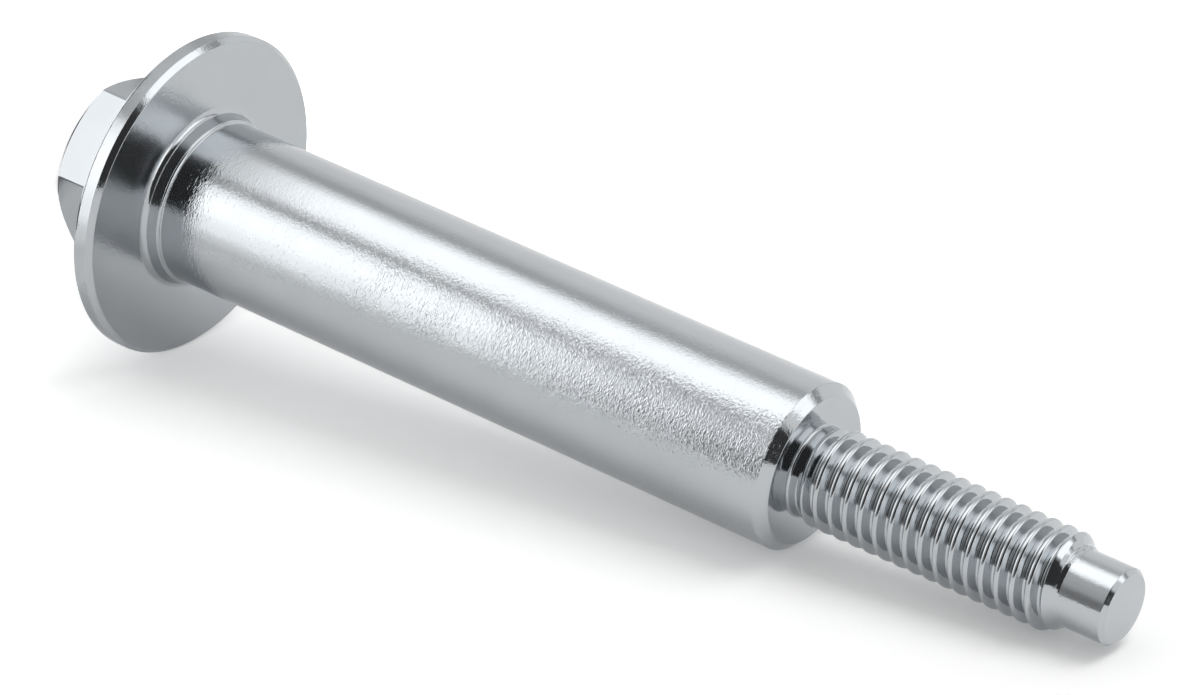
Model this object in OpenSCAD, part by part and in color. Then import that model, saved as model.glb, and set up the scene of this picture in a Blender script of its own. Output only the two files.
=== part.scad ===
// A flanged hexagon bolt with a long plain shoulder, a thread and a dog point.
// It stands on its head: Z is the axis, and the origin is the centre of the head's flat top.

/* [Head] */
// Width of the hexagon across its flats
hex_af = 16; // [13:0.25:19]
// Height of the whole head, from its flat top to the bearing face of the flange
head_h = 11.2; // [8:0.1:16]
// Slope of the bevel round the top of the hexagon, in degrees
bevel_slope = 35; // [15:1:45]
// How far the bevel reaches in from the flats, on the flat top
bevel_in = 0.4; // [0.1:0.1:1.5]

/* [Flange] */
// Diameter of the flange
flange_d = 31.75; // [25:0.25:40]
// Thickness of the flange at its rim
flange_t = 2; // [1.5:0.1:3]
// Slope of the flange's back, from the rim to the hexagon, in degrees
flange_slope = 12; // [2:1:20]
// Rounding of the rim's back edge
flange_round = 0.4; // [0.1:0.1:0.6]
// Chamfer between the rim and the bearing face
flange_chamfer = 0.5; // [0.2:0.1:0.8]

/* [Collar] */
// Diameter of the collar at its foot, on the bearing face
collar_d = 16.95; // [16.6:0.05:18]
// Diameter of the collar at its outer end
collar_end_d = 16.5; // [16.1:0.05:16.9]
// Length of the collar along the shoulder
collar_l = 1.7; // [1:0.1:3]
// Fillet between the bearing face and the collar
collar_fillet = 0.7; // [0.2:0.1:0.9]

/* [Shoulder] */
// Diameter of the shoulder
shoulder_d = 15.875; // [14:0.125:16]
// Length of the shoulder, from the bearing face to its end face
shoulder_l = 71.2; // [40:0.1:100]
// Chamfer at the end of the shoulder
shoulder_chamfer = 0.95; // [0.3:0.05:1.5]

/* [Neck] */
// Diameter of the plain neck between the shoulder and the thread
neck_d = 8.5; // [8.2:0.1:9]
// Length of the neck
neck_l = 0.75; // [0.75:0.05:4]
// Fillet between the shoulder's end face and the neck
neck_fillet = 0.45; // [0.2:0.05:0.7]

/* [Thread] */
// Diameter over the crests of the thread
thread_d = 9.4; // [9.2:0.05:10]
// Distance from one crest to the next
thread_pitch = 1.5875; // [1.25:0.0125:2]
// Depth of the thread, from crest to root
thread_depth = 0.95; // [0.7:0.05:1]
// Length of the thread, from the neck to the cone that ends it
thread_l = 25.55; // [10:0.05:40]
// Turns over which the thread grows out of the neck
thread_run_in = 0.8; // [0.5:0.1:2]

/* [Dog point] */
// Diameter of the dog point
point_d = 7.14; // [6:0.02:7.24]
// Length from the end of the thread to the tip, with the cone
point_l = 6.2; // [4:0.1:10]
// Angle between the axis and the cone that leads down to the dog point, in degrees
cone_angle = 37; // [30:1:50]
// Fillet between the cone and the dog point
cone_fillet = 0.8; // [0.2:0.1:1.2]
// Chamfer at the tip
point_chamfer = 0.4; // [0.1:0.05:0.8]

/* [Hidden] */
$fn = 96;

// Bright zinc plating
zinc = [0.78, 0.80, 0.82];

// How far one solid reaches into its neighbour, so that the two fuse
sink = 0.5;

// Heights along the axis, from the head's flat top
rim_z = head_h - flange_t;
face_z = head_h;
end_face_z = face_z + shoulder_l;
thread_z = end_face_z + neck_l;
cone_z = thread_z + thread_l;
tip_z = cone_z + point_l;

// Radii of the thread and of the dog point
crest_r = thread_d / 2;
root_r = crest_r - thread_depth;
point_r = point_d / 2;

// Radius of the cone that ends the thread, at height z
function cone_r(z) = crest_r - (z - cone_z) * tan(cone_angle);

// Height at which that cone has this radius
function cone_height(r) = cone_z + (crest_r - r) / tan(cone_angle);

// Heights at which the cone reaches the thread's roots and the dog point
dog_z = cone_height(root_r);
pin_z = cone_height(point_r);

// Bends of the thread's profile: place within one pitch, and share of the full depth
thread_profile = [[0.28, 1], [0.42, 1], [0.74, 0], [0.96, 0]];
// Straight steps in one turn of the thread
thread_steps = 40;
// Plain start of the threaded rod, in pitches: longer than the gap between two bends
plain_start = 0.35;
// How far the threaded rod stays inside the neck and the dog point that cover its ends
rod_clearance = 0.06;

// A share, kept between 0 and 1
function share(x) = min(1, max(0, x));

// Cross-section of the corner between a circle and the two lines that touch it at the angles
// first and last, seen from its centre: it fills a hollow corner, or is cut from a sharp one
module rounded_corner(centre, r, first, last) {
    half = (last - first) / 2;
    mid = first + half;
    reach = r + sink / 2;
    difference() {
        polygon([
            centre,
            centre + reach * [cos(first), sin(first)],
            centre + reach / cos(half) * [cos(mid), sin(mid)],
            centre + reach * [cos(last), sin(last)]
        ]);
        translate(centre)
            circle(r);
    }
}

// The hexagon, with a bevel turned round its top
module hexagon() {
    top_r = hex_af / 2 - bevel_in;
    corner_r = hex_af / 2 / cos(30);
    outer_r = corner_r + 1;
    color(zinc)
    intersection() {
        cylinder(h = rim_z + sink, r = corner_r, $fn = 6);
        rotate_extrude()
            polygon([
                [0, 0],
                [top_r, 0],
                [outer_r, (outer_r - top_r) * tan(bevel_slope)],
                [outer_r, face_z],
                [0, face_z]
            ]);
    }
}

// The flange: a back that slopes to the hexagon, a straight rim and a flat bearing face
module flange() {
    rim_r = flange_d / 2;
    inner_r = hex_af / 2 - 1;
    inner_z = rim_z - (rim_r - inner_r) * tan(flange_slope);
    round_z = rim_z + flange_round / tan(45 + flange_slope / 2);
    color(zinc)
    rotate_extrude()
        difference() {
            polygon([
                [0, inner_z],
                [inner_r, inner_z],
                [rim_r, rim_z],
                [rim_r, face_z - flange_chamfer],
                [rim_r - flange_chamfer, face_z],
                [0, face_z]
            ]);
            rounded_corner([rim_r - flange_round, round_z], flange_round, flange_slope - 90, 0);
        }
}

// The short tapered collar at the foot of the shoulder
module collar() {
    foot_r = collar_d / 2;
    color(zinc)
    rotate_extrude() {
        polygon([
            [0, face_z - sink],
            [foot_r, face_z - sink],
            [foot_r, face_z],
            [collar_end_d / 2, face_z + collar_l],
            [0, face_z + collar_l]
        ]);
        rounded_corner([foot_r + collar_fillet, face_z + collar_fillet], collar_fillet, 180, 270);
    }
}

// The long plain shoulder, with a chamfer at its end
module shoulder() {
    r = shoulder_d / 2;
    color(zinc)
    rotate_extrude()
        polygon([
            [0, face_z],
            [r, face_z],
            [r, end_face_z - shoulder_chamfer],
            [r - shoulder_chamfer, end_face_z],
            [0, end_face_z]
        ]);
}

// The plain neck, with a fillet to the shoulder's end face
module neck() {
    r = neck_d / 2;
    color(zinc)
    rotate_extrude() {
        translate([0, end_face_z - sink])
            square([r, neck_l + sink]);
        rounded_corner([r + neck_fillet, end_face_z + neck_fillet], neck_fillet, 180, 270);
    }
}

// Radius of the threaded rod at height z, for a point that has this share of the depth.
// It starts inside the neck, grows to the full thread, and is cut down by the cone.
function rod_r(z, depth_share) =
    let (
        blank_r = neck_d / 2 - rod_clearance,
        full_r = root_r + depth_share * thread_depth,
        start_z = thread_z + plain_start * thread_pitch,
        grown = share((z - start_z) / (thread_run_in * thread_pitch))
    )
    min(blank_r + grown * (full_r - blank_r), cone_r(z) - rod_clearance);

// The turns past the start of the dog point are drawn together, so that the rod ends inside it
function rod_z(z) = z < dog_z ? z : dog_z + (z - dog_z) / 10;

// The threaded rod as one closed skin: rows of points wind round it like the thread, one row
// for each bend of the profile, and a level ring of points closes each end
module thread() {
    steps = thread_steps;
    bends = len(thread_profile);
    first_z = thread_z - thread_pitch;
    turns = 1 + ceil((dog_z - first_z) / thread_pitch);
    rows = bends * turns;
    low_z = first_z - 0.1;
    high_z = rod_z(first_z + thread_pitch * (turns + 1) + 0.1);

    function ring_point(i, z, r) = [r * cos(360 * i / steps), r * sin(360 * i / steps), z];
    function row_z(row, i) =
        let (place = thread_profile[row % bends][0])
        rod_z(first_z + thread_pitch * (floor(row / bends) + place + i / steps));
    function row_point(row, i) =
        let (z = row_z(row, i)) ring_point(i, z, rod_r(z, thread_profile[row % bends][1]));
    // Number of the point i steps along a row. After a full turn the row runs on as a later one.
    function at(row, i) = i < steps ? row * steps + i : at(row + bends, i - steps);
    low = rows * steps;
    high = low + steps;
    last = rows - 1;

    points = [
        for (row = [0:last], i = [0:steps - 1]) row_point(row, i),
        for (i = [0:steps - 1]) ring_point(i, low_z, rod_r(low_z, 0)),
        for (i = [0:steps - 1]) ring_point(i, high_z, rod_r(high_z, 0))
    ];
    skin = [
        for (row = [0:last - 1], i = [0:steps - 1])
            if (i < steps - 1 || row + 1 + bends <= last)
                each [
                    [at(row, i), at(row + 1, i + 1), at(row, i + 1)],
                    [at(row, i), at(row + 1, i), at(row + 1, i + 1)]
                ]
    ];
    low_end = [
        [for (i = [0:steps - 1]) low + i],
        for (i = [0:steps - 2])
            each [[low + i, at(0, i + 1), low + i + 1], [low + i, at(0, i), at(0, i + 1)]],
        [low + steps - 1, at(0, 0), low],
        for (row = [0:bends - 1]) [low + steps - 1, at(row + 1, 0), at(row, 0)],
        [low + steps - 1, at(0, steps - 1), at(bends, 0)]
    ];
    high_end = [
        [for (i = [steps - 1:-1:0]) high + i],
        for (i = [0:steps - 2])
            each [[at(last, i), high + i + 1, at(last, i + 1)], [at(last, i), high + i, high + i + 1]],
        [high, at(last, steps - 1), high + steps - 1],
        for (row = [last - bends:last - 1]) [high, at(row, steps - 1), at(row + 1, steps - 1)],
        [high, at(last, 0), at(last - bends, steps - 1)]
    ];
    color(zinc)
    polyhedron(points, concat(skin, low_end, high_end), convexity = 10);
}

// The dog point: what is left of the cone below the thread's root, a plain pin and a chamfer
module dog_point() {
    fillet = min(cone_fillet, 0.9 * (root_r - point_r) / sin(cone_angle) / tan(cone_angle / 2));
    fillet_centre = [point_r + fillet, pin_z + fillet * tan(cone_angle / 2)];
    color(zinc)
    rotate_extrude() {
        polygon([
            [0, dog_z],
            [root_r, dog_z],
            [point_r, pin_z],
            [point_r, tip_z - point_chamfer],
            [point_r - point_chamfer, tip_z],
            [0, tip_z]
        ]);
        intersection() {
            rounded_corner(fillet_centre, fillet, 180, 180 + cone_angle);
            translate([0, dog_z])
                square([root_r, point_l]);
        }
    }
}

// The whole bolt is one piece of steel
module bolt() {
    union() {
        hexagon();
        flange();
        collar();
        shoulder();
        neck();
        thread();
        dog_point();
    }
}

bolt();
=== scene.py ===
"""Looks of the flanged shoulder bolt: a finely rounded skin, bright zinc, and the studio."""
import math

import bpy
import numpy as np
from mathutils import Matrix, Vector


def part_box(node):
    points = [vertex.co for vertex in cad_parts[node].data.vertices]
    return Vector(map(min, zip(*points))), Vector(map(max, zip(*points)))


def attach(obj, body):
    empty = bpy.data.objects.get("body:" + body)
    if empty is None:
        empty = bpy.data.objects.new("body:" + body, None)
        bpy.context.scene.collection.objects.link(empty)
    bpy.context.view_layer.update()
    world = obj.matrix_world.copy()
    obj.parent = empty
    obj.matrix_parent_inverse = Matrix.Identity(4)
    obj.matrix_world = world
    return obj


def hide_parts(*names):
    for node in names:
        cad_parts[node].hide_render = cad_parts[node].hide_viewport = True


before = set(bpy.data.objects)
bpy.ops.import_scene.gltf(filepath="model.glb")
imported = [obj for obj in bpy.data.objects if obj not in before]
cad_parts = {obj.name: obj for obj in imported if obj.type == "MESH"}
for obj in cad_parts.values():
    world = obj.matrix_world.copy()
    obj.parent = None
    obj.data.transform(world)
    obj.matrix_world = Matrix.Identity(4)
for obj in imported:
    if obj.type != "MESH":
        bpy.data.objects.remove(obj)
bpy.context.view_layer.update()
scene = bpy.context.scene

# ---------------------------------------------------------------- sizes, in metres
# Heights are counted from the head's flat top, on which the bolt stands
MM = 0.001
LOW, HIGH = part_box("bolt")
TIP_Z = HIGH.z
RIM_R = (HIGH.x - LOW.x) / 2

# Head and flange
HEX_HALF = 8.0 * MM  # from the axis to a flat
HEX_TOP_R = 7.6 * MM  # the flat top, inside the bevel
BEVEL_SLOPE = math.radians(35)
FACE_Z = 11.2 * MM  # the bearing face of the flange
RIM_T = 2.0 * MM
RIM_Z = FACE_Z - RIM_T  # where the rim meets the flange's sloping back
BACK_SLOPE = math.radians(12)
RIM_CHAMFER = 0.5 * MM

# Collar and shoulder
COLLAR_FOOT_R = 8.475 * MM
COLLAR_END_R = 8.25 * MM
COLLAR_L = 1.7 * MM
COLLAR_STEP_L = 0.1 * MM  # from the collar's end down to the shoulder
SHOULDER_R = 7.9375 * MM
SHOULDER_L = 71.2 * MM
END_Z = FACE_Z + SHOULDER_L  # the end face of the shoulder
END_CHAMFER = 0.95 * MM

# Neck and thread
NECK_R = 4.25 * MM
PITCH = 1.5875 * MM
CREST_R = 4.7 * MM
ROOT_R = 3.75 * MM
CREST_Z = END_Z + 1.3 * MM  # a crest is at this height over the X axis
THREAD_START_Z = END_Z + 0.85 * MM
RUN_IN = 0.8 * PITCH  # over this length the thread grows out of the neck

# Cone and dog point
CONE_Z = TIP_Z - 6.2 * MM  # the end of the full thread
CONE_SLOPE = math.tan(math.radians(37))
POINT_R = 3.57 * MM
POINT_CHAMFER = 0.4 * MM
CONE_END_Z = CONE_Z + (CREST_R - POINT_R) / CONE_SLOPE

# Roundings of edges and corners
HEX_CORNER_ROUND = 0.45 * MM
HEX_TOP_ROUND, BEVEL_ROUND, HEX_FOOT_ROUND = 0.25 * MM, 0.2 * MM, 0.4 * MM
RIM_ROUND, RIM_EDGE_ROUND = 0.4 * MM, 0.08 * MM
CHAMFER_ROUND = 0.1 * MM  # the other edges of the chamfers
COLLAR_FILLET, COLLAR_ROUND, STEP_ROUND = 0.7 * MM, 0.25 * MM, 0.12 * MM
NECK_FILLET = 0.45 * MM


# ---------------------------------------------------------------- objects
def new_object(name, data):
    thing = bpy.data.objects.new(name, data)
    scene.collection.objects.link(thing)
    return thing


def new_mesh(name, points, faces):
    mesh = bpy.data.meshes.new(name)
    mesh.from_pydata(points, [], faces)
    return mesh


# ---------------------------------------------------------------- camera
# Fitted to the photograph: its place, and the way to its right and to its top
CAMERA_AT = Vector((0.3518, 0.2600, 0.3091))
CAMERA_RIGHT = Vector((-0.12284, -0.59740, 0.79248))
CAMERA_UP = Vector((0.70900, -0.61158, -0.35114))
FOCAL_PX = 5598  # focal length in pixels of the photograph
PHOTO_WIDTH_PX = 1200
SENSOR_MM = 36


def add_camera():
    data = bpy.data.cameras.new("camera")
    data.sensor_width = SENSOR_MM
    data.lens = FOCAL_PX / PHOTO_WIDTH_PX * SENSOR_MM
    data.clip_start, data.clip_end = 0.01, 50
    camera = new_object("camera", data)
    back = CAMERA_RIGHT.cross(CAMERA_UP).normalized()
    turn = Matrix((CAMERA_RIGHT, CAMERA_UP, back)).transposed()
    camera.matrix_world = Matrix.Translation(CAMERA_AT) @ turn.to_4x4()
    scene.camera = camera


# ---------------------------------------------------------------- nodes
NOISE_MIDDLE = 0.5


def new_tree(owner):
    owner.use_nodes = True
    tree = owner.node_tree
    tree.nodes.clear()
    return tree


def add(tree, kind, inputs=None, **settings):
    """Adds a node. Its inputs, by name or number, are sockets to link or values to set."""
    node = tree.nodes.new(kind)
    for name, value in settings.items():
        setattr(node, name, value)
    for key, value in (inputs or {}).items():
        if isinstance(value, bpy.types.NodeSocket):
            tree.links.new(value, node.inputs[key])
        else:
            node.inputs[key].default_value = value
    return node


def math_node(tree, operation, *operands):
    """Result of one sum; its operands are sockets or numbers."""
    return add(tree, "ShaderNodeMath", dict(enumerate(operands)), operation=operation).outputs[0]


def map_range(tree, value, span, levels, smooth=False):
    """Goes from one level to the other as the value crosses the span, and stays there."""
    kind = "SMOOTHSTEP" if smooth else "LINEAR"
    inputs = dict(enumerate((value, *span, *levels)))
    return add(tree, "ShaderNodeMapRange", inputs, interpolation_type=kind).outputs[0]


def mix_colours(tree, share, first, second):
    """The first colour where the share is 0, the second where it is 1."""
    mix = add(tree, "ShaderNodeMix", {0: share, 6: first, 7: second}, data_type="RGBA")
    return mix.outputs[2]


def noise(tree, place, scale, detail, **others):
    """Value of a noise, mostly near NOISE_MIDDLE; others are more of the node's inputs."""
    inputs = {"Vector": place, "Scale": scale, "Detail": detail, **others}
    return add(tree, "ShaderNodeTexNoise", inputs).outputs[0]


def bump(tree, height, distance, **others):
    """Normal of an uneven skin; others are more of the node's inputs."""
    inputs = {"Height": height, "Distance": distance, "Strength": 1, **others}
    return add(tree, "ShaderNodeBump", inputs).outputs[0]


def vector_length(tree, vector):
    return add(tree, "ShaderNodeVectorMath", {0: vector}, operation="LENGTH").outputs["Value"]


def object_place(tree):
    """A point's place on its object, and its X, Y and Z."""
    place = add(tree, "ShaderNodeTexCoord").outputs["Object"]
    return place, add(tree, "ShaderNodeSeparateXYZ", {0: place}).outputs


def azimuth_of(tree, axes):
    """The angle round the bolt's axis, in radians, 0 over X."""
    return math_node(tree, "ARCTAN2", axes["Y"], axes["X"])


# ---------------------------------------------------------------- zinc
ZINC = (0.51, 0.533, 0.552, 1)
ZINC_CLOUDED = (0.47, 0.492, 0.51, 1)
ROUGHNESS = (0.07, 0.12)  # in clear and in clouded places
FACE_ROUGHER = 0.12  # more on the bearing face of the flange

# Noises: cells in a metre, and for two of them the values between which they count
CLOUD_SCALE, CLOUD_SPAN = 220, (0.3, 0.7)
PATCH_SCALE, PATCH_SPAN = 130, (0.35, 0.65)
PATCH_SHARES = (0.5, 1)  # of the grain
PEEL_SCALE = 700
TURNED_SCALE = 5200
GRAIN_SCALE = 2600
CREASE_SCALE = 1900
GRAIN_DRAWN = (1, 1, 1.8)  # finer along the axis, so that it is drawn out round it

# Heights of the skin's unevenness
PEEL = 0.010 * MM
TURNED = 0.0012 * MM
GRAIN = 0.050 * MM  # near the end of the shoulder
CREASE_SHARE = 2.4  # sharp creases on top of the grain

# How strong the grain is. On the shoulder it grows from the flange to near the end, and round
# the axis from one azimuth to another, where the side that the photograph shows starts
GRAIN_AT_FLANGE = 0.05
GRAIN_END_L = 20 * MM  # this much of the shoulder has all of it
GRAIN_STARTS, GRAIN_FULL = math.radians(2), math.radians(22)
GRAIN_BEFORE = 0.3  # its share before the first azimuth
GRAIN_ON_THREAD = 0.025
GRAIN_ELSEWHERE = 0.13
# These places have this much more
GRAIN_ON_FACE = 0.05
GRAIN_ON_RIM = 0.12
GRAIN_ON_POINT = 0.3
ON_FACE, ON_SHOULDER, ON_RIM = 0.05 * MM, 0.06 * MM, 0.1 * MM  # a point this near is on it
POINT_MIDDLE_Z, POINT_HALF_L = CONE_END_Z + 1.5 * MM, 2 * MM


def grain_height(tree, place):
    """A satin grain with sharp creases, drawn out round the axis."""
    drawn = add(tree, "ShaderNodeVectorMath", {0: place, 1: GRAIN_DRAWN}, operation="MULTIPLY")
    grain = noise(tree, drawn.outputs[0], GRAIN_SCALE, detail=2, Roughness=0.6)
    creases = noise(tree, drawn.outputs[0], CREASE_SCALE, detail=1, Distortion=0.7)
    off_crease = math_node(tree, "SUBTRACT", creases, NOISE_MIDDLE)
    ridge = math_node(tree, "ABSOLUTE", off_crease)
    return math_node(tree, "MULTIPLY_ADD", ridge, CREASE_SHARE, grain)


def grain_strength(tree, place, axes, off_axis, on_face):
    """How strong the grain is here: most near the end of the shoulder, in patches."""
    on_shoulder = math_node(tree, "COMPARE", off_axis, SHOULDER_R, ON_SHOULDER)
    shoulder_span = (FACE_Z, END_Z - GRAIN_END_L)
    along = map_range(tree, axes["Z"], shoulder_span, (GRAIN_AT_FLANGE, 1 - GRAIN_ELSEWHERE))
    side_span = (GRAIN_STARTS, GRAIN_FULL)
    side = map_range(tree, azimuth_of(tree, axes), side_span, (GRAIN_BEFORE, 1), smooth=True)
    off_thread = math_node(tree, "LESS_THAN", axes["Z"], END_Z)
    on_rim = math_node(tree, "COMPARE", off_axis, RIM_R, ON_RIM)
    on_point = math_node(tree, "COMPARE", axes["Z"], POINT_MIDDLE_Z, POINT_HALF_L)
    strength = GRAIN_ON_THREAD
    for here, more in (
        (off_thread, GRAIN_ELSEWHERE - GRAIN_ON_THREAD),
        (on_shoulder, math_node(tree, "MULTIPLY", along, side)),
        (on_face, GRAIN_ON_FACE),
        (on_rim, GRAIN_ON_RIM),
        (on_point, GRAIN_ON_POINT),
    ):
        strength = math_node(tree, "MULTIPLY_ADD", here, more, strength)
    patches = noise(tree, place, PATCH_SCALE, detail=2)
    share = map_range(tree, patches, PATCH_SPAN, PATCH_SHARES)
    return math_node(tree, "MULTIPLY", share, strength)


def zinc_material():
    """Bright zinc plating: a clean metal with faint clouds, turning lines and a satin grain."""
    material = bpy.data.materials.new("bright_zinc")
    tree = new_tree(material)
    place, axes = object_place(tree)
    flat = add(tree, "ShaderNodeCombineXYZ", {0: axes["X"], 1: axes["Y"]})
    off_axis = vector_length(tree, flat.outputs[0])
    on_face = math_node(tree, "COMPARE", axes["Z"], FACE_Z, ON_FACE)

    clouds = noise(tree, place, CLOUD_SCALE, detail=3)
    rough = map_range(tree, clouds, CLOUD_SPAN, ROUGHNESS)

    # The skin's unevenness: soft waves, turning lines, and the grain
    waves = bump(tree, noise(tree, place, PEEL_SCALE, detail=2), PEEL)
    rings = add(tree, "ShaderNodeCombineXYZ", {0: off_axis, 1: axes["Z"]})
    turned = noise(tree, rings.outputs[0], TURNED_SCALE, detail=2)
    lines = bump(tree, turned, TURNED, Normal=waves)
    skin = bump(
        tree,
        grain_height(tree, place),
        GRAIN,
        Strength=grain_strength(tree, place, axes, off_axis, on_face),
        Normal=lines,
    )
    shader = add(
        tree,
        "ShaderNodeBsdfPrincipled",
        {
            "Base Color": mix_colours(tree, clouds, ZINC, ZINC_CLOUDED),
            "Metallic": 1,
            "Roughness": math_node(tree, "MULTIPLY_ADD", on_face, FACE_ROUGHER, rough),
            "Normal": skin,
        },
    )
    add(tree, "ShaderNodeOutputMaterial", {"Surface": shader.outputs[0]})
    return material


# ---------------------------------------------------------------- the bolt's skin
# Angles of the skin's columns within half a side of the hexagon, closest at its corner
HALF_SIDE = [0, 0.4, 0.9, 1.5, 2.3, 3.5, 5.5, 8, 11, 14, 17.2, 20.4, 23.6, 26.8, 30]
ARC_STEPS = 4
# A rounding takes no more than this share of each of the two straights that it joins
ROUNDING_MOST = 0.48

# Rings that only cut long faces: on the flats, as shares of the radius, and on the shoulder
TOP_RINGS, FACE_RING, TIP_RING = (0.5, 0.9), 0.75, 0.5
SHOULDER_RINGS = 14
SHOULDER_RINGS_FROM = FACE_Z + COLLAR_L + 1 * MM
SHOULDER_RINGS_TO = END_Z - END_CHAMFER - 0.5 * MM
# The head's last ring and the dog point's first one, clear of the thread's rows between them
NECK_RING_Z = END_Z + 0.55 * MM
POINT_RING_Z = CONE_END_Z + 2.9 * MM

# The thread's profile: half widths of its crest and root in pitches, and their roundings
CREST_HALF, ROOT_HALF = 0.12, 0.11
CREST_ROUND, ROOT_ROUND = 0.29 * MM, 0.26 * MM
THREAD_ARC_STEPS = 5
ROWS_START_Z = THREAD_START_Z - 0.05 * MM
ROWS_SQUEEZE = 0.12  # rows below that height are drawn together on the plain neck
ROWS_END_Z = CONE_END_Z + 0.4 * MM  # the last turn starts at or past this height
CONE_FOOT_BLEND, CONE_EDGE_BLEND = 0.09 * MM, 0.06 * MM


def column_angles():
    """Angles round the axis, in radians; the hexagon's corners are at multiples of 60 degrees."""
    side = HALF_SIDE + [60 - a for a in reversed(HALF_SIDE[1:-1])]
    return np.radians([60 * k + a for k in range(6) for a in side])


def hexagon_r(angle):
    """Distance from the axis to the hexagon's side at this angle, with rounded corners."""
    off = abs((angle + math.pi / 6) % (math.pi / 3) - math.pi / 6)
    centre = (HEX_HALF - HEX_CORNER_ROUND) / math.cos(math.pi / 6)
    touch = math.atan2(
        HEX_CORNER_ROUND * math.sin(math.pi / 6),
        centre + HEX_CORNER_ROUND * math.cos(math.pi / 6),
    )
    if off < touch:
        past_centre = math.sqrt(HEX_CORNER_ROUND**2 - (centre * math.sin(off)) ** 2)
        return centre * math.cos(off) + past_centre
    return HEX_HALF / math.cos(math.pi / 6 - off)


def rounded(corners, steps=ARC_STEPS):
    """Points of an outline through corners, each two coordinates and the radius of its rounding."""
    points = []
    for i, (r, z, radius) in enumerate(corners):
        here = Vector((r, z))
        if not radius:
            points.append(here)
            continue
        to_last = Vector(corners[i - 1][:2]) - here
        to_next = Vector(corners[i + 1][:2]) - here
        half = to_last.angle(to_next) / 2
        straight = min(to_last.length, to_next.length)
        run = min(radius / math.tan(half), ROUNDING_MOST * straight)
        radius = run * math.tan(half)
        a, b = to_last.normalized(), to_next.normalized()
        centre = here + (a + b).normalized() * radius / math.sin(half)
        start, end = here + a * run - centre, here + b * run - centre
        sweep = start.angle(end)
        for k in range(steps + 1):
            turned = k / steps * sweep
            arm = start * math.sin(sweep - turned) + end * math.sin(turned)
            points.append(centre + arm / math.sin(sweep))
    return points


def head_outline(angle):
    """Outline of the bolt at this angle, from the head's flat top to the neck."""
    side = hexagon_r(angle)
    bevel_z = (side - HEX_TOP_R) * math.tan(BEVEL_SLOPE)
    back_z = RIM_Z - (RIM_R - side) * math.tan(BACK_SLOPE)
    collar_z = FACE_Z + COLLAR_L
    shoulder_z = np.linspace(SHOULDER_RINGS_FROM, SHOULDER_RINGS_TO, SHOULDER_RINGS)
    return rounded(
        [
            *[(HEX_TOP_R * share, 0, 0) for share in TOP_RINGS],
            (HEX_TOP_R, 0, HEX_TOP_ROUND),
            (side, bevel_z, BEVEL_ROUND),
            (side, back_z, HEX_FOOT_ROUND),
            ((side + RIM_R) / 2, (back_z + RIM_Z) / 2, 0),
            (RIM_R, RIM_Z, RIM_ROUND),
            (RIM_R, FACE_Z - RIM_CHAMFER, RIM_EDGE_ROUND),
            (RIM_R - RIM_CHAMFER, FACE_Z, CHAMFER_ROUND),
            (RIM_R * FACE_RING, FACE_Z, 0),
            (COLLAR_FOOT_R, FACE_Z, COLLAR_FILLET),
            (COLLAR_END_R, collar_z, COLLAR_ROUND),
            (SHOULDER_R, collar_z + COLLAR_STEP_L, STEP_ROUND),
            *[(SHOULDER_R, z, 0) for z in shoulder_z],
            (SHOULDER_R, END_Z - END_CHAMFER, CHAMFER_ROUND),
            (SHOULDER_R - END_CHAMFER, END_Z, CHAMFER_ROUND),
            (NECK_R, END_Z, NECK_FILLET),
            (NECK_R, NECK_RING_Z, 0),
        ]
    )


def point_outline():
    """Outline of the dog point, from past the thread's cone to the tip."""
    return rounded(
        [
            (POINT_R, POINT_RING_Z, 0),
            (POINT_R, TIP_Z - POINT_CHAMFER, CHAMFER_ROUND),
            (POINT_R - POINT_CHAMFER, TIP_Z, CHAMFER_ROUND),
            (POINT_R * TIP_RING, TIP_Z, 0),
        ]
    )


def soft_max(a, b, blend):
    return (a + b + np.sqrt((a - b) ** 2 + blend**2)) / 2


def soft_min(a, b, blend):
    return -soft_max(-a, -b, blend)


def thread_profile():
    """A turn of the thread from groove to groove: heights from its crest, shares of the depth."""
    depth = CREST_R - ROOT_R
    crest, foot = CREST_HALF * PITCH, (0.5 - ROOT_HALF) * PITCH
    points = rounded(
        [
            (foot - PITCH, 0, 0),
            (-foot, 0, ROOT_ROUND),
            (-crest, depth, CREST_ROUND),
            (crest, depth, CREST_ROUND),
            (foot, 0, ROOT_ROUND),
            (PITCH - foot, 0, 0),
        ],
        THREAD_ARC_STEPS,
    )[1:-1]
    return np.array([p[0] for p in points]), np.array([p[1] / depth for p in points])


def thread_r(z, share):
    """Radius of the threaded end at height z, for points with this share of its depth."""
    grown = np.clip((z - THREAD_START_Z) / RUN_IN, 0, 1)
    grown = grown * grown * (3 - 2 * grown)
    full = ROOT_R + share * (CREST_R - ROOT_R)
    cone = soft_max(CREST_R - (z - CONE_Z) * CONE_SLOPE, POINT_R, CONE_FOOT_BLEND)
    return soft_min(NECK_R + grown * (full - NECK_R), cone, CONE_EDGE_BLEND)


def thread_rows(angles):
    """Rows of points that wind with the thread, and how many of them a turn has.

    A row goes on as the one that is so many rows later.
    """
    place, share = thread_profile()
    first_z = CREST_Z - PITCH
    turns = math.ceil((ROWS_END_Z - first_z - place[-1]) / PITCH) + 1
    row_z = np.concatenate([first_z + PITCH * turn + place for turn in range(turns)])
    z = row_z[:, None] + PITCH * angles[None, :] / (2 * math.pi)
    z = np.where(z < ROWS_START_Z, ROWS_START_Z - ROWS_SQUEEZE * (ROWS_START_Z - z), z)
    r = thread_r(z, np.tile(share, turns)[:, None])
    return np.stack([r * np.cos(angles), r * np.sin(angles), z], axis=-1), len(place)


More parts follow.
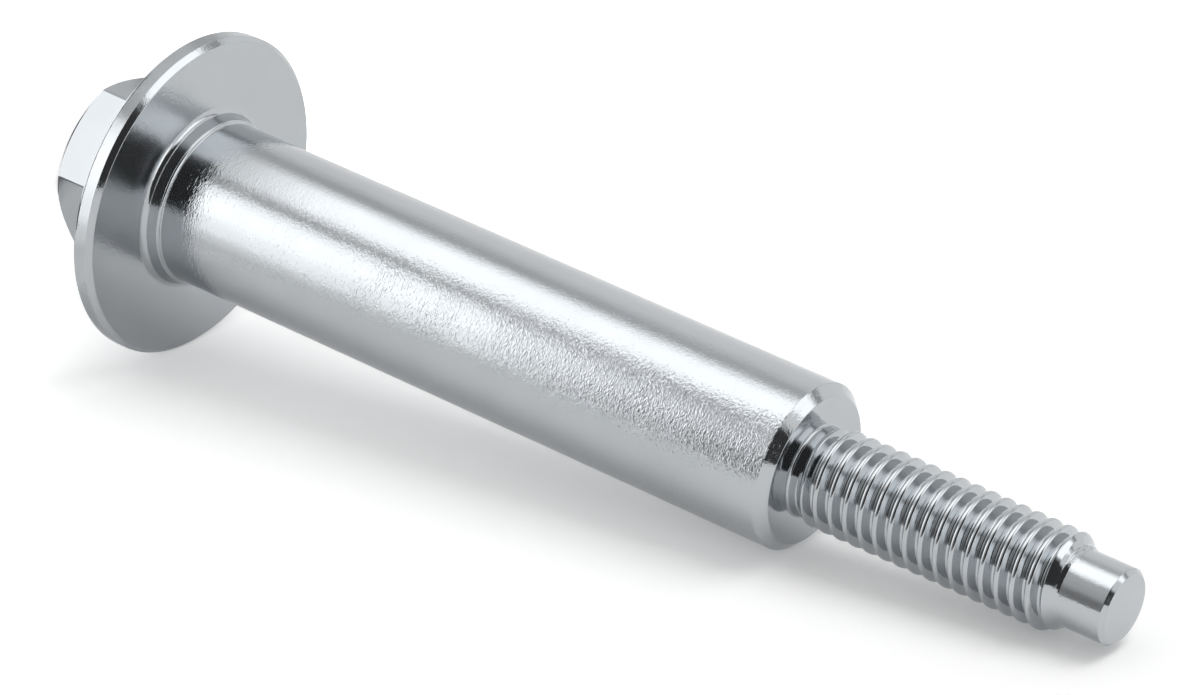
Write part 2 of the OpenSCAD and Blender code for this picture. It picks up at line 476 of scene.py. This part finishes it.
def ring_points(outlines, angles):
    """Level rings of points from one outline for each column."""
    rz = np.array([[tuple(p) for p in outline] for outline in outlines])
    r, z = rz[:, :, 0].T, rz[:, :, 1].T
    return np.stack([r * np.cos(angles), r * np.sin(angles), z], axis=-1)


def skin_faces(columns, thread_start, point_start, rows, rows_a_turn):
    """Faces of the skin, whose points are counted row by row, with the two poles at the end.

    The thread's rows start at thread_start and the dog point's at point_start.
    """
    seam = columns - 1
    top, tip = rows * columns, rows * columns + 1

    def at(row, column):
        return row * columns + column % columns

    def band(row, count):
        """The first faces between a row and the next."""
        return [
            (at(row, i), at(row, i + 1), at(row + 1, i + 1), at(row + 1, i)) for i in range(count)
        ]

    # The head: its flat top, and level rings up to the neck
    faces = [(top, at(0, i + 1), at(0, i)) for i in range(columns)]
    for row in range(thread_start - 1):
        faces += band(row, columns)

    # The thread: bands that end at the seam, and there go on as later ones
    for row in range(thread_start - 1, point_start):
        faces += band(row, seam)
    for row in range(thread_start, point_start - 1 - rows_a_turn):
        later = row + rows_a_turn
        faces.append((at(row, seam), at(later, 0), at(later + 1, 0), at(row + 1, seam)))

    # The step at the seam below its first turn, closed by a fan from the head's last ring
    low = at(thread_start - 1, seam)
    faces.append((low, at(thread_start - 1, 0), at(thread_start, 0)))
    for row in range(thread_start, thread_start + rows_a_turn):
        faces.append((low, at(row, 0), at(row + 1, 0)))
    faces.append((low, at(thread_start + rows_a_turn, 0), at(thread_start, seam)))

    # The same past its last turn, by a fan from the start of its last row
    high = at(point_start - 1, 0)
    for row in range(point_start - 1 - rows_a_turn, point_start - 1):
        faces.append((at(row, seam), high, at(row + 1, seam)))
    faces.append((at(point_start - 1, seam), high, at(point_start, seam)))
    faces.append((high, at(point_start, 0), at(point_start, seam)))

    # The dog point: level rings, and its flat tip
    for row in range(point_start, rows - 1):
        faces += band(row, columns)
    faces += [(tip, at(rows - 1, i), at(rows - 1, i + 1)) for i in range(columns)]
    return faces


def bolt_mesh():
    """The bolt as one closed skin: rings up to the neck, winding rows, rings for the point."""
    angles = column_angles()
    columns = len(angles)
    head = ring_points([head_outline(a) for a in angles], angles)
    thread, rows_a_turn = thread_rows(angles)
    point = ring_points([point_outline()] * columns, angles)
    rows = np.concatenate([head, thread, point])
    points = np.concatenate([rows.reshape(-1, 3), [[0, 0, 0], [0, 0, TIP_Z]]])
    faces = skin_faces(columns, len(head), len(head) + len(thread), len(rows), rows_a_turn)
    mesh = new_mesh("bolt_skin", points.tolist(), faces)
    mesh.validate()
    mesh.shade_smooth()
    mesh.normals_split_custom_set_from_vertices(area_normals(mesh))
    return mesh


def area_normals(mesh):
    """Normals of the points, to which each face adds by its area, so that flats stay flat."""
    normals = np.zeros((len(mesh.vertices), 3))
    for face in mesh.polygons:
        push = np.array(face.normal) * face.area
        for vertex in face.vertices:
            normals[vertex] += push
    return (normals / np.linalg.norm(normals, axis=1)[:, None]).tolist()


def add_bolt():
    bolt = new_object("zinc_bolt", bolt_mesh())
    bolt.data.materials.append(zinc_material())
    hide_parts("bolt")
    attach(bolt, "root")


# ---------------------------------------------------------------- floor and backdrop
PALE = (0.85, 0.85, 0.85, 1)
# In mirrors the floor's own colour counts half, and the bands make up for the rest
PALE_HALVED = (0.42, 0.42, 0.42, 1)
FLOOR_HALF = 3.0
# A lift is light of its own that makes a pale surface white to the camera but for the shadows
FLOOR_LIFT = 0.8

# The photograph's table is a backdrop here, and the bolt leans on it as it lies in the
# photograph: on the rim of the flange and on the end of the shoulder, at this azimuth
LEAN_AZIMUTH = math.radians(159.43)
GAP = 0.05 * MM
BACKDROP_HALF, BACKDROP_TALL = 0.7, 0.8
BACKDROP_LIFT = (0.38, 0.18)  # at the floor and at the bolt's tip
CORNER_LIFT, CORNER_REACH = 0.4, 0.013  # more where the backdrop meets the floor
FAR_LIFT, FAR_SPAN = 0.4, (0.13, 0.24)  # and more far from the bolt
MIRROR_LIFT = 0.16  # the backdrop's, in mirrors

# What the plating mirrors from the floor, by azimuth in degrees, where 1 is white
ROOM = [
    (-180, 1.0),
    (-76, 1.0),
    (-63, 0.88),
    (-56, 0.72),
    (-46, 0.72),
    (-34, 0.9),
    (0, 0.92),
    (8, 0.79),
    (14, 0.77),
    (35, 0.7),
    (58, 0.38),
    (70, 0.45),
    (81, 0.9),
    (90, 1.0),
    (180, 1.0),
]
# The softbox overhead in the photograph, which starts at a short distance from the head
OVERHEAD = [
    (-180, 0),
    (-49, 0),
    (-39, 0.6),
    (-29, 1.1),
    (-16, 1.15),
    (-4, 1.05),
    (3, 0.5),
    (9, 0),
    (180, 0),
]
OVERHEAD_SPAN = (0.030, 0.050)
# The softbox at the side, which ends at a short distance
SIDE = [
    (-180, 0),
    (13, 0),
    (22, 1.05),
    (32, 1.42),
    (50, 1.6),
    (68, 1.32),
    (80, 0.35),
    (88, 0),
    (180, 0),
]
SIDE_SPAN = (0.112, 0.138)
BAND_MOST = 2.0  # the strongest light that a band can have
# Nearer to the axis than this it is a spot instead, which fills the flat of the hexagon
SPOT_R, SPOT_LEVEL = 0.0205, 1.9
SPOT_AZIMUTH, SPOT_HALF = math.radians(31), math.radians(32)
# Dark arcs on that side, by distance from the axis: the shade under the rim and at the foot
# of the hexagon
RIM_SHADE_R, RIM_SHADE_HALF = 0.0230, 0.0025
FOOT_SHADE_R = 0.0085
SHADE_AZIMUTH, SHADE_HALF = math.radians(34), math.radians(44)


def clear_view(tree, ray):
    """1 for rays from the camera, straight or through glass, and 0 for others."""
    return math_node(tree, "MAXIMUM", ray["Is Camera Ray"], ray["Is Transmission Ray"])


def matt_and_glow(tree, colour, strength):
    """A matt surface of this colour that gives light of this strength."""
    matt = add(tree, "ShaderNodeBsdfDiffuse", {"Color": colour})
    glow = add(tree, "ShaderNodeEmission", {"Strength": strength})
    return add(tree, "ShaderNodeAddShader", {0: matt.outputs[0], 1: glow.outputs[0]}).outputs[0]


def band_levels(tree, azimuth, bands):
    """Light by azimuth: bands is a list of degrees and levels."""
    place = math_node(tree, "MULTIPLY_ADD", azimuth, 1 / (2 * math.pi), 0.5)
    ramp = add(tree, "ShaderNodeValToRGB", {"Fac": place})
    stops = ramp.color_ramp.elements
    for i, (degrees, level) in enumerate(bands):
        stop = stops[i] if i < len(stops) else stops.new(1)
        stop.position = degrees / 360 + 0.5
        shade = level / BAND_MOST
        stop.color = (shade, shade, shade, 1)
    ramp.color_ramp.interpolation = "EASE"
    return math_node(tree, "MULTIPLY", ramp.outputs["Color"], BAND_MOST)


def floor_bands(tree):
    """The light that mirrors find on the floor."""
    place, axes = object_place(tree)
    azimuth = azimuth_of(tree, axes)
    away = vector_length(tree, place)
    near = math_node(tree, "LESS_THAN", away, SPOT_R)

    overhead_share = map_range(tree, away, OVERHEAD_SPAN, (0, 1))
    overhead = band_levels(tree, azimuth, OVERHEAD)
    room = band_levels(tree, azimuth, ROOM)
    light = math_node(tree, "MULTIPLY_ADD", overhead, overhead_share, room)

    fade = map_range(tree, away, SIDE_SPAN, (1, 0))
    side_share = math_node(tree, "MULTIPLY", fade, math_node(tree, "SUBTRACT", 1, near))
    side = band_levels(tree, azimuth, SIDE)
    light = math_node(tree, "MULTIPLY_ADD", side, side_share, light)

    in_spot = math_node(tree, "COMPARE", azimuth, SPOT_AZIMUTH, SPOT_HALF)
    in_spot = math_node(tree, "MULTIPLY", in_spot, near)
    spot = math_node(tree, "MULTIPLY", in_spot, SPOT_LEVEL)
    light = math_node(tree, "MAXIMUM", light, spot)

    ring = math_node(tree, "COMPARE", away, RIM_SHADE_R, RIM_SHADE_HALF)
    foot = math_node(tree, "LESS_THAN", away, FOOT_SHADE_R)
    facing = math_node(tree, "COMPARE", azimuth, SHADE_AZIMUTH, SHADE_HALF)
    shade = math_node(tree, "MULTIPLY", math_node(tree, "MAXIMUM", ring, foot), facing)
    return math_node(tree, "MULTIPLY", light, math_node(tree, "SUBTRACT", 1, shade))


def floor_material():
    """Matt and pale; white to the camera but for the shadows, with the softboxes in mirrors."""
    material = bpy.data.materials.new("pale_floor")
    tree = new_tree(material)
    ray = add(tree, "ShaderNodeLightPath").outputs
    pale = mix_colours(tree, ray["Is Glossy Ray"], PALE, PALE_HALVED)
    bands = math_node(tree, "SUBTRACT", floor_bands(tree), PALE_HALVED[0])
    in_mirrors = math_node(tree, "MULTIPLY", bands, ray["Is Glossy Ray"])
    lift = math_node(tree, "MULTIPLY_ADD", clear_view(tree, ray), FLOOR_LIFT, in_mirrors)
    add(tree, "ShaderNodeOutputMaterial", {"Surface": matt_and_glow(tree, pale, lift)})
    return material


def backdrop_material():
    """Matt and pale; white to the camera and in mirrors but for the shadows; clear from behind."""
    material = bpy.data.materials.new("pale_backdrop")
    tree = new_tree(material)
    ray = add(tree, "ShaderNodeLightPath").outputs
    place, axes = object_place(tree)
    sweep = map_range(tree, axes["Z"], (0, TIP_Z), BACKDROP_LIFT)
    corner = map_range(tree, axes["Z"], (0, CORNER_REACH), (CORNER_LIFT, 0), smooth=True)
    far = map_range(tree, vector_length(tree, place), FAR_SPAN, (0, FAR_LIFT))
    in_view = math_node(tree, "ADD", math_node(tree, "ADD", sweep, corner), far)
    in_mirrors = math_node(tree, "MULTIPLY", ray["Is Glossy Ray"], MIRROR_LIFT)
    lift = math_node(tree, "MULTIPLY_ADD", clear_view(tree, ray), in_view, in_mirrors)
    behind = add(tree, "ShaderNodeNewGeometry").outputs["Backfacing"]
    clear = add(tree, "ShaderNodeBsdfTransparent").outputs[0]
    front = matt_and_glow(tree, PALE, lift)
    surface = add(tree, "ShaderNodeMixShader", {0: behind, 1: front, 2: clear})
    add(tree, "ShaderNodeOutputMaterial", {"Surface": surface.outputs[0]})
    return material


def add_sheet(name, corners, material):
    mesh = new_mesh(name, [tuple(c) for c in corners], [tuple(range(len(corners)))])
    sheet = new_object(name, mesh)
    mesh.materials.append(material)


def add_floor():
    half = FLOOR_HALF
    corners = [(-half, -half, 0), (half, -half, 0), (half, half, 0), (-half, half, 0)]
    add_sheet("floor", corners, floor_material())


def add_backdrop():
    """The backdrop runs from the floor along the two places on which the bolt leans."""
    outward = Vector((math.cos(LEAN_AZIMUTH), math.sin(LEAN_AZIMUTH), 0))
    across = outward.cross(Vector((0, 0, 1)))
    low = outward * (RIM_R + GAP) + Vector((0, 0, FACE_Z - RIM_CHAMFER))
    high = outward * (SHOULDER_R + GAP) + Vector((0, 0, END_Z - END_CHAMFER))
    rise = (high - low).normalized()
    foot = low - rise * (low.z / rise.z)
    left, right = foot - across * BACKDROP_HALF, foot + across * BACKDROP_HALF
    up = rise * BACKDROP_TALL
    add_sheet("backdrop", [left, right, right + up, left + up], backdrop_material())


# ---------------------------------------------------------------- cards that only mirrors see
CARD_MIDDLE_Z = 0.05
CARD_COLUMNS, CARD_ROWS = 13, 9


def card_material(name, azimuths, strength, soft):
    """Light of a card, which passes into white over this many degrees at its two sides, if any."""
    material = bpy.data.materials.new(name)
    tree = new_tree(material)
    if soft:
        azimuth = azimuth_of(tree, object_place(tree)[1])
        middle = math.radians(sum(azimuths) / 2)
        half = math.radians((azimuths[1] - azimuths[0]) / 2)
        off = math_node(tree, "ABSOLUTE", math_node(tree, "SUBTRACT", azimuth, middle))
        span = (half - math.radians(soft), half)
        strength = map_range(tree, off, span, (strength, 1), smooth=True)
    glow = add(tree, "ShaderNodeEmission", {"Strength": strength})
    add(tree, "ShaderNodeOutputMaterial", {"Surface": glow.outputs[0]})
    return material


def add_card(name, azimuths, rises, distance, strength, soft):
    """A card round the bolt, from one azimuth and elevation to another, in degrees."""
    turns = np.radians(np.linspace(*azimuths, CARD_COLUMNS))
    heights = np.radians(np.linspace(*rises, CARD_ROWS))
    points = [
        (
            distance * math.cos(height) * math.cos(turn),
            distance * math.cos(height) * math.sin(turn),
            CARD_MIDDLE_Z + distance * math.sin(height),
        )
        for height in heights
        for turn in turns
    ]
    n = CARD_COLUMNS
    faces = [
        (row * n + i, row * n + i + 1, (row + 1) * n + i + 1, (row + 1) * n + i)
        for row in range(CARD_ROWS - 1)
        for i in range(n - 1)
    ]
    mesh = new_mesh(name, points, faces)
    card = new_object(name, mesh)
    mesh.materials.append(card_material(name, azimuths, strength, soft))
    card.visible_camera = False
    card.visible_diffuse = False
    card.visible_transmission = False
    card.visible_shadow = False


def add_cards():
    add_card("ceiling", (-180, 180), (71, 89), distance=1.8, strength=2.0, soft=0)
    add_card("overhead_softbox", (-67, -14), (27, 50), distance=1.6, strength=1.9, soft=4)
    add_card("overhead_frame", (-80, -67), (4, 45), distance=1.6, strength=0.45, soft=5)
    add_card("dark_room", (-20, 92), (3, 68), distance=1.7, strength=0.05, soft=16)


# ---------------------------------------------------------------- light
LAMP_AZIMUTH = math.radians(-36)
LAMP_RISE = math.radians(15)
LAMP_DISTANCE = 0.6
LAMP_SIZE = (0.45, 0.3)
LAMP_POWER = 1.6
WORLD_LIGHT = 0.55  # what the world gives to matt surfaces, where 1 is white


def add_lamp():
    """A soft lamp on the side of the photograph's overhead softbox, which mirrors don't see."""
    data = bpy.data.lights.new("overhead", "AREA")
    data.shape = "RECTANGLE"
    data.size, data.size_y = LAMP_SIZE
    data.energy = LAMP_POWER
    lamp = new_object("overhead", data)
    level = LAMP_DISTANCE * math.cos(LAMP_RISE)
    from_middle = Vector(
        (
            level * math.cos(LAMP_AZIMUTH),
            level * math.sin(LAMP_AZIMUTH),
            LAMP_DISTANCE * math.sin(LAMP_RISE),
        )
    )
    lamp.location = Vector((0, 0, TIP_Z / 2)) + from_middle
    lamp.rotation_euler = from_middle.to_track_quat("Z", "Y").to_euler()
    lamp.visible_glossy = False
    lamp.visible_camera = False


def add_world():
    """White to the camera and in mirrors, and a plain level light for matt surfaces."""
    world = bpy.data.worlds.new("studio")
    scene.world = world
    tree = new_tree(world)
    ray = add(tree, "ShaderNodeLightPath").outputs
    seen = math_node(tree, "MAXIMUM", clear_view(tree, ray), ray["Is Glossy Ray"])
    strength = map_range(tree, seen, (0, 1), (WORLD_LIGHT, 1.0))
    sky = add(tree, "ShaderNodeBackground", {"Color": (1, 1, 1, 1), "Strength": strength})
    add(tree, "ShaderNodeOutputWorld", {"Surface": sky.outputs[0]})


add_camera()
add_bolt()
add_floor()
add_backdrop()
add_cards()
add_lamp()
add_world()
scene.view_settings.view_transform = "Standard"
